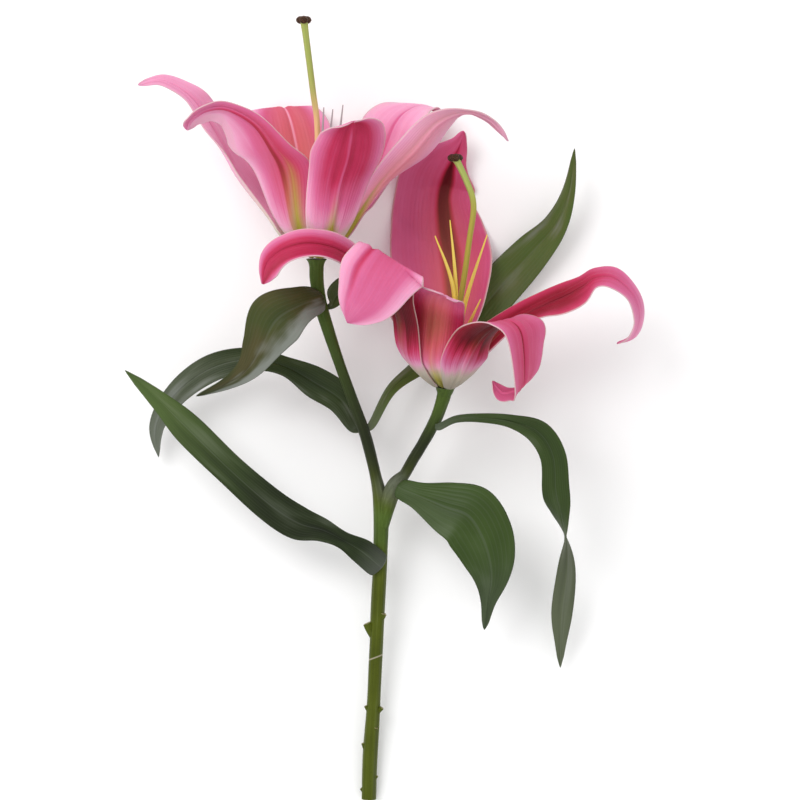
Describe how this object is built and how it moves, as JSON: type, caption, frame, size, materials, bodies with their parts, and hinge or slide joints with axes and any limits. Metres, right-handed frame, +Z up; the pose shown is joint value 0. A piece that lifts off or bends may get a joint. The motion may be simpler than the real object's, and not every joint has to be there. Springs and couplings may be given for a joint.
{
  "type": "cut lily",
  "caption": "Cut lily lying down: a forked green stem with long leaves and open pink blooms whose tepals curl back, with bare stamens and long pistils.",
  "frame": {"origin": "middle of the flower's footprint, on the surface it lies on", "axes": "+Y runs from the stem's cut end to the blooms, +X to the side of the leaning bloom, +Z up from the surface"},
  "size_m": [0.2606, 0.3948, 0.1067],
  "materials": {
    "stem": "fresh green stem, satin",
    "leaf": "waxy dark green leaf, semi-gloss",
    "tepal": "soft pink tepal, satin",
    "pistil": "pale green, satin",
    "filament": "straw yellow, satin"
  },
  "bodies": {
    "root": {"stem": "stem", "leaf_left_long": "leaf", "leaf_left_arched": "leaf", "leaf_upper_left": "leaf", "leaf_bract": "leaf", "leaf_right_broad": "leaf", "leaf_right_drooping": "leaf", "leaf_right_tall": "leaf", "left_bloom_tepal_front": "tepal", "left_bloom_tepal_front_left": "tepal", "left_bloom_tepal_left": "tepal", "left_bloom_tepal_back_left": "tepal", "left_bloom_tepal_back_right": "tepal", "left_bloom_tepal_right": "tepal", "left_bloom_pistil": "pistil", "left_bloom_stamens": "filament", "right_bloom_tepal_back": "tepal", "right_bloom_tepal_front_left": "tepal", "right_bloom_tepal_front": "tepal", "right_bloom_tepal_front_right": "tepal", "right_bloom_tepal_right": "tepal", "right_bloom_tepal_left": "tepal", "right_bloom_pistil": "pistil", "right_bloom_stamens": "filament"}
  },
  "joints": []
}
